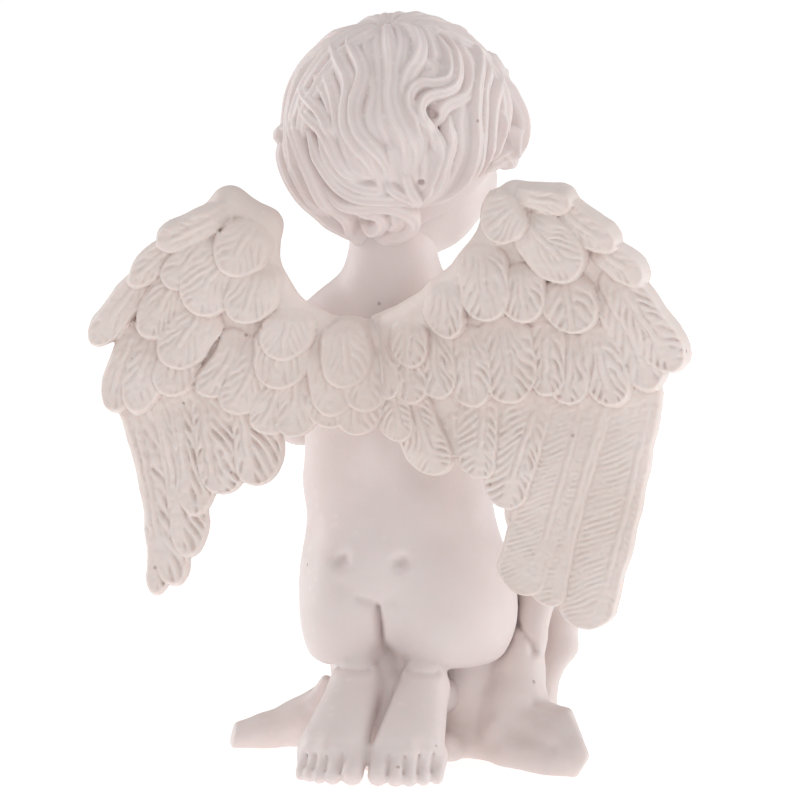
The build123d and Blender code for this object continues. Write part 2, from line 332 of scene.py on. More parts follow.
def sculpt_foot(clay, side, heel, toes):
    """A foot with its sole to the back: heel up against the seat, toes on the ground."""
    clay.egg((heel * side, 10.2, 10.8), (3.1, 3.0, 3.6), 1.4)
    for out, back, up in ((2.7, 20.6, 4.1), (4.9, 20.8, 4.0), (7.1, 19.4, 3.8)):
        start = ((heel + 0.35 * (out - 4.9)) * side, 10.8, 10.4)
        clay.limb(start, (out * side, back, up), 2.6, 2.45, 1.2)
    for across, back, radius in toes:
        root = (across * side, back - 4.8, 3.6)
        knuckle = (across * side, back - 2.4 - radius, 2.4 + 0.4 * radius)
        clay.limb(root, knuckle, radius, radius, 0.8)
        clay.limb(knuckle, (across * side, back - radius, 0.35 + radius), radius, radius, 0.4)


def press_creases(clay):
    """The spine, the dimples and cleft of the seat, and the creases of the feet."""
    clay.begin_creases()
    clay.crease(((0.3, 8, 56), (0.3, 7.4, 46), (0.2, 6.6, 38), (0.2, 8.2, 31)), 2.2, 0.4)
    clay.crease(((2.8, 0, 22.4), (1.4, 0, 21.9), (0.4, 0, 21.1)), 0.6, 0.5, from_back=True)
    clay.crease(((0.4, 0, 21.1), (0.1, 0, 18.5), (0.0, 0, 15.4)), 0.4, 1.3, from_back=True)
    clay.crease(((0.0, 0, 15.4), (-0.9, 0, 13.8), (-1.6, 0, 12.2)), 0.9, 1.1, from_back=True)
    clay.crease(((0.2, 0, 21.2), (-1.6, 0, 21.8)), 0.8, 0.15, from_back=True)
    clay.crease(((4.8, 0, 23.8), (2.8, 0, 22.6)), 1.2, 0.25, from_back=True)
    for under in (((6.4, 0, 13.0), (1.4, 0, 12.9)), ((-3.6, 0, 12.8), (-7.6, 0, 12.7))):
        clay.crease(under, 0.35, 0.4, from_back=True)
    for x in (5.0, -2.8):
        clay.crease(((x, 0, 27.1), (x + 0.3, 0, 26.9)), 0.95, 0.9, from_back=True)
    for side, toes in ((1, LEFT_TOES), (-1, RIGHT_TOES)):
        for a, b in zip(toes, toes[1:]):
            gap = 0.5 * (a[0] + a[2] + b[0] - b[2]) * side
            clay.crease(((gap, b[1] - 2.6, 4.2), (gap, b[1] - 0.9, 2.2)), 0.24, 0.6)
        instep = ((1.2 * side, 22.6, 5.4), (4.6 * side, 22.4, 5.2), (8.4 * side, 20.4, 4.8))
        clay.crease(instep, 0.8, 0.3)
    clay.end_creases()


# ---------------------------------------------------------------- the wings

# The wings' middle surface from above, mm: y backwards at the root, and its slope and curve.
SWEEP = (9.4, 0.647, -0.0148)
OVERLAP = 1.2  # how much wider than its share of the row a feather is
ARM_BACK = -0.7  # the wing's arm lies a little in front of the middle surface, mm

# A row of feathers: how high it stands, how far outwards its quills lie in halves of a feather's
# width, how deep its barbs are cut, how they slant, degrees, and how far apart they are, and how
# long its tips are drawn out. Each feather is (root, tip, width) and sometimes how far it bows
# inwards, with places as (outwards, up), all in mm.
Row = namedtuple("Row", "base quill_out barbs slant barb_gap point feathers")
LEFT_WING = {
    "primaries": Row(0.0, 0.5, 0.55, 21, 1.05, 1.7, (
        ((33.8, 51), (28.2, 22.6), 3.4, 1.5), ((31.0, 52), (25.8, 24.2), 4.4, 1.0),
        ((27.8, 52), (23.8, 28.0), 4.6, 0.7), ((24.8, 52), (22.9, 33.6), 4.8, 0.3),
    )),
    "secondaries": Row(0.15, 0.4, 0.55, 25, 1.0, 1.2, (
        ((21.2, 52), (19.0, 36.5), 5.4), ((16.6, 52), (14.6, 37.7), 5.4),
    )),
    "greater": Row(0.6, 0.2, 0.22, 26, 0.85, 1.15, (
        ((29.8, 59.4), (34.4, 46.6), 4.6), ((27.2, 58), (31.4, 46.8), 4.8),
        ((23.8, 57.3), (26.8, 49.4), 5.0), ((16.8, 58.7), (21.9, 49.6), 5.0, 0.8),
        ((13.5, 57.9), (18.4, 47.3), 5.7, 0.9), ((11.0, 54.7), (14.6, 44.6), 5.6, 0.6),
        ((9.0, 55.2), (10.4, 44.0), 5.0), ((5.4, 54.4), (6.2, 45.0), 5.2),
        ((2.0, 54), (2.2, 43.8), 5.4),
    )),
    "median": Row(1.2, 0.1, 0.2, 24, 0.8, 1.15, (
        ((28.0, 66.8), (37.2, 55.2), 3.8), ((23.8, 67), (29.5, 56.8), 5.2),
        ((20.7, 62), (26.2, 53.2), 5.8), ((12, 60), (12.2, 50.6), 6.2),
        ((6.6, 57.4), (5.2, 46.8), 5.2), ((1.4, 56), (1.0, 47.0), 5.4),
    )),
    "lesser": Row(1.7, 0.0, 0.18, 24, 0.8, 1.15, (
        ((23.8, 70.6), (31.8, 63.8), 3.6), ((19.6, 72.4), (26.8, 64.0), 4.2),
        ((16.8, 71), (23.3, 60.8), 6.8), ((14.4, 68), (16.8, 59.2), 5.8),
        ((10.6, 61.6), (11.4, 54.2), 6.0), ((4.6, 60), (3.4, 50.4), 5.4),
    )),
    "edge": Row(2.0, 0.0, 0.16, 24, 0.8, 1.2, (
        ((17.6, 74.6), (28.2, 69.4), 3.6), ((14.6, 73), (18.6, 65.6), 6.4),
    )),
}
RIGHT_WING = {
    "under": Row(-0.6, 0.0, 0.08, 60, 0.7, 1.0, (
        ((30.4, 54), (25.0, 23.2), 6.0), ((24.5, 54), (19.6, 31.0), 6.2),
        ((18.0, 54), (15.8, 38.5), 5.6), ((10.0, 52), (10.6, 41.6), 6.0),
    )),
    "primaries": Row(0.0, 0.45, 0.14, 60, 0.66, 0.85, (
        ((34.7, 54), (27.0, 20.0), 6.3, 0.3), ((30.4, 54), (22.4, 23.0), 4.4, 0.0),
        ((26.2, 54), (18.5, 24.6), 6.0, -0.2),
    )),
    "secondaries": Row(0.15, 0.2, 0.34, 44, 0.8, 1.0, (
        ((21.4, 52), (16.4, 35.8), 5.6), ((14.0, 52), (13.2, 39.2), 4.8),
        ((3.0, 51), (8.3, 39.2), 5.8), ((0.6, 52), (3.2, 43.2), 4.8),
    )),
    "greater": Row(0.6, 0.0, 0.38, 28, 0.95, 1.1, (
        ((29.9, 66), (36.2, 51.0), 5.2), ((28.3, 60.4), (31.4, 49.0), 5.4),
        ((25.7, 59.4), (24.9, 49.6), 5.0), ((22.5, 60.9), (22.6, 50.6), 4.6),
        ((16.3, 61.5), (18.2, 49.6), 6.8), ((11.6, 60), (12.8, 48.8), 5.6),
        ((7.4, 60), (8.6, 49.4), 5.2), ((3.0, 58.5), (5.0, 48.4), 4.8),
        ((-0.6, 57), (0.8, 48.6), 4.6),
    )),
    "median": Row(1.2, 0.0, 0.34, 28, 0.95, 1.1, (
        ((30.1, 68), (39.6, 53.4), 5.0), ((24.9, 67.1), (26.4, 58.8), 6.3),
        ((19, 68.5), (20.2, 60.2), 5.4), ((13.6, 70.9), (14.8, 60.2), 6.0),
        ((9.4, 65.3), (9.0, 57.6), 4.8), ((4.4, 60), (4.0, 53.2), 4.8),
    )),
    "lesser": Row(1.7, 0.0, 0.22, 26, 0.85, 1.15, (
        ((28.3, 70.6), (35.3, 65.2), 3.6), ((19, 74.4), (27.2, 66.8), 6.4),
    )),
    "edge": Row(1.9, 0.0, 0.18, 26, 0.85, 1.15, (
        ((23.0, 76.2), (31.6, 69.8), 3.8), ((18, 77), (26.2, 75.8), 3.0),
        ((19.8, 76.4), (14.4, 71.6), 6.0),
    )),
}
# Each wing's arm under the feathers, and the web that they grow from, as (outwards, up, radius).
LEFT_ARM = (
    (-1, 56.2, 2.4), (6, 56.9, 2.4), (11.6, 60.2, 2.4), (15.0, 66.4, 2.4), (14.6, 71.6, 2.4),
    (18.8, 74.4, 2.3), (26.5, 66.4, 1.6), (31, 58, 1.2),
)
LEFT_WEB = ((0, 52, 5), (8, 53, 5.5), (16, 59, 6), (20, 63, 7), (26, 56, 5.5), (29, 50, 4))
RIGHT_ARM = (
    (-1, 56.6, 2.4), (4.8, 59.5, 2.4), (8.8, 62.8, 2.4), (12.6, 66.4, 2.4), (16.0, 71.6, 2.4),
    (18.4, 75.8, 2.4), (24.0, 75.8, 2.2), (30, 68, 1.6), (34, 60, 1.2),
)
RIGHT_WEB = ((0, 52, 6), (8, 56, 6.5), (16, 62, 7), (23, 66, 8), (29, 60, 7), (32, 52, 5))


def soft_noise(shape, cell, rng):
    """A smooth random sheet between -1 and 1, with features a given number of cells wide."""
    knots = rng.uniform(-1, 1, [int(n / cell) + 3 for n in shape])
    rows, columns = (np.arange(n) / cell for n in shape)
    first = rows.astype(int)[:, None], columns.astype(int)[None, :]
    part = smooth_step(rows % 1)[:, None], smooth_step(columns % 1)[None, :]
    next_row, next_column = first[0] + 1, first[1] + 1
    near = knots[first] * (1 - part[1]) + knots[first[0], next_column] * part[1]
    far = knots[next_row, first[1]] * (1 - part[1]) + knots[next_row, next_column] * part[1]
    return near * (1 - part[0]) + far * part[0]


def lay_feather(u, z, feather, point, grain, rng):
    """Places a feather on the sheet. Gives how far down and to the inner side of its middle line
    each cell lies, its length, half its width, how wide it swells, and the distance to its
    outline, which is negative inside."""
    root, tip, width, bow = (*feather, 0.0)[:4]
    root, tip = np.array(root, float), np.array(tip, float)
    length = float(np.hypot(*(tip - root)))
    along = (tip - root) / length
    inward = np.array((along[1], -along[0]))
    down = (u - root[0]) * along[0] + (z - root[1]) * along[1]
    s = down / length
    bow += rng.uniform(-0.03, 0.03) * length
    aside = (u - root[0]) * inward[0] + (z - root[1]) * inward[1] - bow * 4 * s * (1 - s)

    half = 0.5 * OVERLAP * width
    swell = half * np.interp(s, (0, 0.3, 0.6, 1.0), (0.8, 0.94, 1.0, 1.0))
    swell = swell * (1 + 0.02 * np.sin(down * 1.1 + rng.uniform(0, 6)))
    point = point * (1 + 0.45 * smooth_step((tip[0] - 26) / 6))  # the outer ones are drawn out
    past = np.maximum(down - (length - point * half), 0) / point
    before = np.maximum(0.8 * half - down, 0) / 0.8
    lean = rng.uniform(-0.05, 0.2)
    edge = np.hypot(past + before, aside + lean * past) - np.where(past > 0, half, swell)
    edge += 0.12 * grain[0] + 0.05 * grain[1]
    return down, aside, length, half, swell, edge


def paint_feather(sheet, u, z, feather, row, grain, rng):
    """Raises one feather on a height sheet, and gives the distance to its outline."""
    down, aside, length, half, swell, edge = lay_feather(u, z, feather, row.point, grain, rng)
    s = down / length
    inside = np.clip(-edge, 0, None)
    across = np.clip(aside / np.maximum(swell, 0.1), -1, 1)

    from_quill = np.abs(aside + row.quill_out * half + 0.15 * grain[1])
    quill = 0.12 * np.exp(-((from_quill / 0.24) ** 2))
    quill -= 0.2 * np.exp(-(((from_quill - 0.5) / 0.2) ** 2))
    quill_end = rng.uniform(0.65, 0.9)
    quill = quill * np.clip((quill_end - s) / 0.1, 0, 1) * min(1, 0.4 + 2 * row.barbs)

    turn = radians(row.slant + rng.uniform(-5, 5))
    barb_gap = row.barb_gap * rng.uniform(0.9, 1.15)
    phase = (down * sin(turn) - from_quill * cos(turn)) * 2 * np.pi / barb_gap
    phase = phase + 3.0 * grain[0] + 0.9 * grain[1] + rng.uniform(0, 6)
    fade = np.clip(0.75 + 0.8 * grain[1] + 0.3 * grain[2], 0.05, 1.3)
    cut = (0.5 + 0.5 * np.cos(phase)) ** 1.4 * fade
    cut = cut * np.clip((from_quill - 0.5) / 0.4, 0, 1) * np.clip((inside - 0.25) / 0.5, 0, 1)

    lift = 0.95 * np.clip(s, 0, 1.1) - 0.3 * across
    crown = 0.3 * (1 - across**2)
    hem = 0.14 * np.exp(-(((inside - 0.4) / 0.3) ** 2)) * np.clip(2.5 * s - 1.3, 0, 1)
    relief = (lift + crown + hem + quill - row.barbs * cut) * smooth_step(s / 0.45)
    edge_drop = 1 - np.exp(-((inside / 0.22) ** 1.5))
    height = 0.75 * row.base * smooth_step(s / 0.3) + (relief + 0.25 * row.base) * edge_drop
    np.maximum(sheet, np.where(edge < 0, height, 0), out=sheet)
    return edge


def sculpt_wing(name, rows, arm, web, side, seed):
    """One wing: a plate with feathers on both faces, worked flat and then bent to its sweep."""
    clay = Clay((-1.5, -5.0, 16), (44, 6.5, 82), WING_VOXEL)
    index, x, y, z = clay.everywhere()
    u, up = x[:, 0, 0][:, None], z[0, 0, :][None, :]
    rng = np.random.default_rng(seed)
    sheet = (u.size, up.size)
    grain = [soft_noise(sheet, size / WING_VOXEL, rng) for size in (3.0, 1.3, 0.55)]
    back = np.zeros(sheet, np.float32)
    front = np.zeros(sheet, np.float32)
    outline = np.full(sheet, FAR, np.float32)
    for row in rows.values():
        flatter = row._replace(base=0.6 * row.base)
        for feather in row.feathers:
            edge = paint_feather(back, u, up, feather, row, grain, rng)
            paint_feather(front, u, up, feather, flatter, grain[::-1], rng)
            outline = np.minimum(outline, edge)
    back += 0.07 * grain[2]
    for a, b in zip(web, web[1:]):
        gap, _ = limb_distance(u, 0, up, (a[0], 0, a[1]), (b[0], 0, b[1]), a[2], b[2])
        outline = np.minimum(outline, gap)
    thick = 0.5 + 0.4 * smooth_step((up - 26) / 30)
    skin = np.clip(-outline / 0.5, 0, 1) ** 0.5
    rear = y - ((back + thick) * skin)[:, None, :]
    fore = -y - ((0.75 * front + thick) * skin)[:, None, :]
    plate = smooth_max(smooth_max(rear, fore, 0.2), 0.8 * outline[:, None, :], 0.25)
    clay.field[index] = np.clip(plate, -FAR, FAR)
    for a, b in zip(arm, arm[1:]):
        clay.limb((a[0], ARM_BACK, a[1]), (b[0], ARM_BACK, b[1]), a[2], b[2], 0.8)
    shoulder = (4.6, -2.6, 51), (9.0, -2.2, 56)
    clay.limb(*shoulder, 3.4, 3.0, 1.5)

    def sweep(points):
        out = np.clip(points[:, 0], 0, None)
        points[:, 1] += SWEEP[0] + SWEEP[1] * out + SWEEP[2] * out**2
        return points

    return clay.mesh(name, side, sweep)


# ---------------------------------------------------------------- the head

HEAD_CENTRE = np.array((-0.9, -1.8, 81.6))
HEAD_TURN = -25  # degrees about the upright, towards the figure's right
HAIR_CENTRE = (-0.8, 1.6, 0.6)  # in the head's own frame
HAIR_RADII = np.array((13.8, 13.9, 13.7))
SEEN_RADIUS = 14.9  # of the hair's outline, with its locks
FALLING_LOCKS = 34
BACK_OF_HEAD = 0.3  # a direction belongs to it if its share towards the camera is above this
WHORL_LOCKS = 11.5  # locks that start higher than this above the head's middle meet there, mm
CURL_TURNS = 1.3
CURL_WIDTH = 1.9


def in_head(x, y, z):
    """A point given in the head's own frame, where the face looks along -y."""
    c, s = cos(radians(HEAD_TURN)), sin(radians(HEAD_TURN))
    return HEAD_CENTRE + (c * x - s * y, s * x + c * y, z)


def on_hair(direction, lift=0.0):
    """Where a direction from the hair's centre meets the surface that the locks lie on."""
    c, s = cos(radians(HEAD_TURN)), sin(radians(HEAD_TURN))
    x, y, z = np.array(direction, float) / np.linalg.norm(direction)
    local = np.array((c * x + s * y, -s * x + c * y, z))
    radius = 1 / np.linalg.norm(local / HAIR_RADII)
    return in_head(*HAIR_CENTRE) + np.array((x, y, z)) * (radius + lift)


def from_behind(across, up, lift=0.0):
    """The point of the hair that is seen that far across and up from the head's middle."""
    right, over, back = view_axes()
    offset = HEAD_CENTRE + right * across + over * up - in_head(*HAIR_CENTRE)
    offset -= back * (offset @ back)
    reach = np.linalg.norm(offset)
    depth = max(SEEN_RADIUS**2 - reach**2, 1.0) ** 0.5
    return on_hair(offset + back * depth, max(reach - SEEN_RADIUS, 0) + lift)


def lay_lock(clay, points, width, height, strands, tip=0.3):
    """Lays a lock of hair along points: a ridge of strands that narrows to its ends."""
    path = smooth_path(points)
    middle = in_head(*HAIR_CENTRE)
    spans = len(path) - 1
    for n in range(spans):
        start, end = path[n], path[n + 1]
        axis = end - start
        length = np.linalg.norm(axis)
        axis /= length
        out = (start + end) / 2 - middle
        out -= axis * (out @ axis)
        out /= np.linalg.norm(out)
        aside = np.cross(out, axis)
        index, x, y, z = clay.around((start, end), 0.6 * width + 0.8)
        dx, dy, dz = x - start[0], y - start[1], z - start[2]
        along = dx * axis[0] + dy * axis[1] + dz * axis[2]
        over = np.maximum(np.maximum(-along, along - length), 0)
        t = (n + np.clip(along / length, 0, 1)) / spans
        size = np.minimum(1.0, tip + 3.0 * np.minimum(t + 0.04, 1.04 - t))
        half = 0.5 * width * size
        lateral = (dx * aside[0] + dy * aside[1] + dz * aside[2]) / half
        rise = (dx * out[0] + dy * out[1] + dz * out[2]) / (height * size)
        shell = np.sqrt(lateral**2 + rise**2 + (over / half) ** 2)
        comb = 0.08 * np.cos(np.clip(lateral, -1.3, 1.3) * np.pi * strands + 0.7 * strands)
        clay.join(index, (shell - 1 - comb * (rise > 0)) * np.minimum(half, height * size), 0.25)


def lay_curl(clay, direction, radius, start, hand, lift):
    """Lays a lock that winds in on itself about a point of the hair, from a start angle in
    degrees, left- or right-handed, that far off the hair's surface."""
    centre = on_hair(direction, lift)
    out = centre - in_head(*HAIR_CENTRE)
    out /= np.linalg.norm(out)
    east = np.cross((0, 0, 1), out)
    east /= np.linalg.norm(east)
    north = np.cross(out, east)
    points = []
    for t in np.linspace(0, 1, 9):
        angle = radians(start) + hand * CURL_TURNS * 2 * np.pi * t
        reach = radius * (1 - 0.74 * t)
        points.append(centre + reach * (cos(angle) * east + sin(angle) * north) + out * 0.7 * t)
    clay.limb(centre - out * 1.2, centre - out * 0.6, radius, radius, 0.6)
    lay_lock(clay, points, CURL_WIDTH, 1.6, 2, 0.55)


# Locks on the back of the head, as (width, height, points), with each point given across and
# up from the head's middle, mm, as seen from behind.
BACK_LOCKS = (
    (2.4, 1.0, ((-1.4, -1.6), (-1.0, -3.6), (-0.9, -5.6), (-1.2, -7.8))),
    (2.4, 1.0, ((-8.4, 1.6), (-7.6, -0.8), (-7, -2.8), (-6, -4.6))),
    (2.0, 1.0, ((-3.6, -3.6), (-3, -5.4), (-2.5, -7.2), (-2.4, -9))),
    (2.2, 1.0, ((3.4, -2.2), (3.6, -4.2), (3.4, -6), (2.8, -8.4))),
    (2.6, 1.5, ((-5.5, 13.4), (-8.6, 11.2), (-11, 8.4), (-12.9, 5), (-14, 1.2), (-14.2, -2.4))),
    (2.4, 1.6, ((-4, 12.6), (-7, 10.4), (-9.6, 7.4), (-11.4, 4.2), (-12.8, 0.8), (-13.2, -3))),
    (2.4, 1.2, ((-4.6, 12.8), (-4.2, 10.5), (-4, 8), (-3.5, 5.6), (-3.5, 4), (-4, 2.2),
        (-3.8, 0.6), (-2.8, -1), (-2, -2.6))),
    (2.2, 1.2, ((-2.9, 13), (-2.8, 10.6), (-2.7, 8), (-2.4, 5.6), (-2.5, 3.6), (-2.6, 1.6),
        (-2, -0.4), (-1.2, -2.6))),
    (2.8, 1.1, ((1.4, 1), (1.6, -1), (1.4, -3), (1, -4.6), (1.1, -6.2), (1.6, -8))),
    (2.6, 1.2, ((9.6, 5), (8.4, 3.4), (7.9, 1), (8, -1.4), (7.8, -3.6), (7, -5.6), (6, -7.4),
        (4.4, -9), (2.9, -10.1))),
    (2.4, 1.1, ((-7.4, -3.4), (-6.2, -4.6), (-5.2, -5.4), (-4, -6))),
    (2.6, 1.1, ((2.6, 9.6), (3.8, 8.6), (4.6, 7.6), (4, 6.8), (2.6, 6.8))),
    (1.9, 1.4, ((-9.8, 8.6), (-9.4, 6.6), (-8.8, 4.8), (-8.4, 2.8), (-8.2, 0.6), (-7.9, -1.4))),
    (1.7, 1.3, ((-11.2, 8), (-10.6, 6.2), (-9.7, 4.4), (-9, 2.6), (-8.8, 1))),
    (2.3, 1.9, ((-8.6, 12), (-8.2, 9.8), (-7.5, 8), (-6.8, 6.6), (-6.6, 5), (-6.9, 3), (-7, 1),
        (-6.6, -0.6), (-5.6, -2.2), (-4.6, -3.4), (-3.9, -4.8), (-3.4, -6.2))),
    (2.1, 2.0, ((-6.6, 12), (-6, 10), (-5.3, 8.6), (-4.9, 7.2), (-5.2, 5.4), (-5.8, 3.8),
        (-5.9, 1.6), (-5.3, -0.4), (-4.1, -1.9), (-2.9, -3.2), (-2.1, -4.6), (-1.7, -6.2))),
    (2.2, 1.9, ((-1.8, 13.2), (-1.5, 11), (-1.3, 8.5), (-1.3, 6.5), (-1.5, 4.6), (-1.2, 2.6),
        (-0.6, 0.8), (0.2, -0.8), (0.6, -2.6), (0.5, -4.4))),
    (2.2, 1.6, ((-0.2, 13.4), (0.1, 11.6), (0, 9.8), (-0.3, 8), (-0.3, 6), (-0.4, 4), (0.2, 2),
        (1, 0.2), (1.8, -1.6), (2.2, -3.4), (1.8, -5))),
    (2.4, 1.8, ((1.2, 13.6), (2.1, 12), (2.4, 10.4), (1.9, 8.8), (1, 7.4), (0.5, 6), (0.4, 4.6),
        (0.5, 3.2))),
    (2.0, 1.5, ((2.8, 13.4), (3.9, 11.6), (4.4, 10), (4.6, 8.8))),
    (1.7, 1.9, ((4.4, 12.6), (5.4, 11), (6.1, 9.4), (6.3, 7.6), (5.8, 6.4), (4.3, 5.9), (2.7, 5.9),
        (1.5, 5.2), (1, 4), (1.3, 2.7), (2, 1.5), (2.4, 0.2), (3, -1.4), (3.2, -3))),
    (1.6, 2.0, ((5.6, 12.4), (6.7, 10.6), (7.2, 8.8), (7.3, 7), (6.8, 5.5), (5.5, 4.7), (4.1, 4.4),
        (3, 3.8), (2.5, 2.6), (2.8, 1.2), (3.6, 0.2), (4.2, -1.2), (4.7, -2.8))),
    (2.0, 1.5, ((7, 12.2), (8.2, 10.4), (9, 8.6), (9.2, 6.6), (8.6, 4.8), (7.4, 3.9), (6.2, 3.4),
        (5.3, 2.6), (5.1, 1.5), (4.6, 0.8))),
    (1.6, 1.6, ((4.2, 0.8), (4.6, -0.8), (5.2, -2.2), (5.4, -3.6), (4.9, -5.2), (4.2, -6.8),
        (3.7, -8.4), (2.8, -9.8))),
    (1.7, 1.6, ((6.5, 1.8), (6.3, 0), (6.5, -1.6), (6.2, -3.2), (5.7, -4.8), (5.4, -6.4),
        (4.6, -8), (3.4, -9.5))),
    (1.8, 1.9, ((9, 11.6), (10.1, 10), (10.2, 8), (9.9, 6.2), (9.7, 4), (9.6, 1.6), (9.7, -0.8),
        (9.5, -3.2), (8.8, -5.4), (7.7, -7.2), (6, -8.8), (4.6, -9.8))),
    (1.6, 1.6, ((10.6, 10.6), (11.5, 8.8), (11.4, 7), (10.9, 5.2), (10.8, 3.2), (10.7, 1.2),
        (10.6, -1.2), (10.3, -3.8), (9.6, -6), (8.4, -7.8))),
    (1.8, 1.7, ((12, 9.4), (12.9, 7.4), (12.7, 5.4), (12.2, 3.6), (11.9, 1.4), (11.7, -1),
        (11.5, -3.4), (10.8, -6))),
    (1.9, 1.5, ((12.8, 8.4), (14.1, 6.6), (15.2, 4.4), (16.1, 2.4), (16.4, 0.6), (16.1, -1.2),
        (15, -2.9), (13.5, -4.1), (11.9, -5.4))),
    (1.7, 1.4, ((13.5, 5.4), (14.5, 3.4), (15.2, 1.4), (15, -0.8), (14, -2.6), (12.6, -4.2))),
    (1.4, 1.3, ((13.2, 3), (13.7, 1.2), (13.5, -0.6), (12.8, -2.4), (12.2, -4))),
    (1.8, 1.8, ((-13, 6.6), (-12.4, 4.8), (-11.4, 3.5), (-10.3, 2.3), (-9.5, 0.9), (-9.1, -0.2),
        (-8.4, -1.6))),
    (1.9, 1.7, ((-13.3, 5), (-12.7, 2.9), (-11.5, 1.3), (-10.2, 0), (-9.2, -1.6), (-8.5, -3.2),
        (-7.6, -4.8), (-6.4, -6), (-5, -6.8))),
    (1.8, 1.4, ((-10.9, -0.6), (-9.9, -2.8), (-8.9, -4.6), (-7.7, -6.1), (-6.2, -7.2),
        (-4.4, -7.8), (-2.6, -8), (-1.2, -8.5))),
    (1.9, 1.7, ((-12.3, 0.2), (-11.4, -2), (-10.4, -4), (-9.2, -5.9), (-7.8, -7.5), (-6, -8.6),
        (-4, -9), (-2, -9.1), (0, -9.4), (1.8, -10.2))),
    (1.7, 2.0, ((-13.9, 3.4), (-13.7, 1), (-13, -1.6), (-12.1, -4), (-11.2, -6.2), (-10.3, -8.2),
        (-9, -10), (-7.6, -11.4))),
    (1.8, 1.6, ((-14.6, 1.6), (-14.7, -1.2), (-14.1, -3.8), (-13.2, -6.2), (-12, -8.4),
        (-10.4, -10.2), (-8.6, -12))),
    (2.2, 1.5, ((-15.4, 0), (-15.7, -2.2), (-15.4, -4.4), (-14.4, -6.8), (-12.9, -9),
        (-10.8, -10.9), (-8.8, -12.8), (-7.2, -14.4))),
    (1.6, 1.1, ((-14.8, 0.2), (-15.8, 0.1), (-16.4, -0.4), (-16.3, -1))),
    (1.9, 1.6, ((-10.7, -7), (-9.2, -8.6), (-7.4, -9.8), (-5.2, -10.2), (-3, -10.1), (-1, -10.3),
        (0.7, -11), (1.6, -12), (1.2, -13.2), (0, -13.9), (-1.6, -14.2), (-3.4, -14.4))),
    (1.6, 1.4, ((-9.4, -9.8), (-8.2, -10.8), (-7.2, -11.8), (-6.7, -13), (-5.8, -13.9),
        (-4.4, -14.3))),
    (1.5, 1.5, ((-6.2, -11), (-4.6, -10.9), (-3, -11.2), (-2.3, -12.1), (-2.8, -13), (-4, -13.3),
        (-5.1, -12.8))),
    (2.0, 1.2, ((-0.8, -11.4), (-0.5, -12.4), (-1.4, -13.2))),
    (1.5, 1.6, ((-2, -6.6), (-1.2, -7.7), (0, -8.5), (1.3, -9.1), (2.3, -10.1))),
    (1.7, 1.5, ((0, -5), (0.7, -6.6), (1.2, -7.9), (1.9, -9), (2.5, -10.2))),
)
# Where the locks part to a small hole, and its radius.
HOLLOWS = (((3.9, 2.3), 0.6), ((4.5, 1.9), 0.4), ((2.8, -6.9), 0.4), ((-4.6, -12.1), 0.5))


def sculpt_head():
    """The face and the hair, with a socket below that takes the neck."""
    clay = Clay((-21, -22, 61), (19, 19, 101), FINE)
    sculpt_face(clay)
    lay_hair(clay)
    nape, skull_base = (-0.3, -0.6, 69.2), (-1.0, -2.6, 75)
    clay.limb(nape, skull_base, 5.7, 6.6, 2.5)
    clay.limb((-0.2, 0.6, 60), (-0.2, 0, 68.4), 5.5, 5.2, 0.3, cut=True)
    return clay.mesh("curly_head")


def sculpt_face(clay):
    """A calm child's face on ordinary proportions, with its eyes closed."""

    def egg(x, y, z, radii, blend, cut=False):
        clay.egg(in_head(x, y, z), radii, blend, about_z=HEAD_TURN, cut=cut)

    def line(points, start, end, blend):
        for a, b in zip(points, points[1:]):
            clay.limb(in_head(*a), in_head(*b), start, end, blend)

    egg(0, 0.4, 1.2, (12.6, 13.6, 13.2), 1)
    egg(0, -4.8, -7.0, (8.8, 8.8, 9.6), 3)
    egg(0, -11.0, -13.0, (3.0, 2.8, 2.5), 2.5)
    for side in (1, -1):
        egg(4.3 * side, -9.2, -7.2, (3.8, 4.1, 3.8), 2.5)
        egg(4.0 * side, -15.4, -1.8, (3.0, 2.7, 2.0), 2.0, cut=True)
        egg(4.0 * side, -11.3, -2.3, (2.3, 2.1, 1.75), 0.5)
        brow = (2.2 * side, -12.8, 1.2), (3.9 * side, -12.9, 1.7), (6.0 * side, -11.9, 1.3)
        line(brow, 0.3, 0.25, 1.5)
    line(((0, -12.8, -1.2), (0, -14.0, -4.4)), 0.7, 1.0, 1.6)
    egg(0, -14.3, -4.9, (1.25, 1.15, 1.05), 0.8)
    for side in (1, -1):
        egg(1.2 * side, -13.4, -5.3, (0.75, 0.95, 0.7), 0.5)
        egg(0.6 * side, -14.1, -5.95, (0.32, 0.45, 0.3), 0.2, cut=True)
        egg(0.85 * side, -13.4, -8.05, (1.3, 0.8, 0.5), 0.35)
    egg(0, -13.2, -9.15, (1.4, 0.95, 0.68), 0.45)
    clay.begin_creases()
    lips = (-2.3, -12.8, -8.3), (0, -14.1, -8.65), (2.3, -12.8, -8.3)
    clay.crease([in_head(*point) for point in lips], 0.26, 0.45)
    clay.crease([in_head(0, -14.0, -6.6), in_head(0, -14.0, -7.3)], 0.4, 0.25)
    for side in (1, -1):
        lashes = ((1.9, -12.6, -2.7), (3.0, -13.2, -3.3), (4.4, -13.3, -3.5), (6.1, -12.3, -2.8))
        fold = ((1.8, -12.8, -1.6), (3.1, -13.3, -0.75), (4.7, -13.2, -0.65), (6.3, -12.2, -1.5))
        clay.crease([in_head(side * x, y, z) for x, y, z in lashes], 0.24, 0.45)
        clay.crease([in_head(side * x, y, z) for x, y, z in fold], 0.24, 0.25)
    clay.end_creases()


# The hairline: how high it runs in the head's own frame, by the angle from the face, degrees.
HAIRLINE = ((0, 35, 60, 80, 105, 140, 180), (7.2, 6.2, 2.5, -4.5, -8.5, -12.0, -13.8))
# The direction of the crown's whorl, in the head's own frame.
WHORL = np.array((0.08, 0.10, 0.99)) / np.linalg.norm((0.08, 0.10, 0.99))


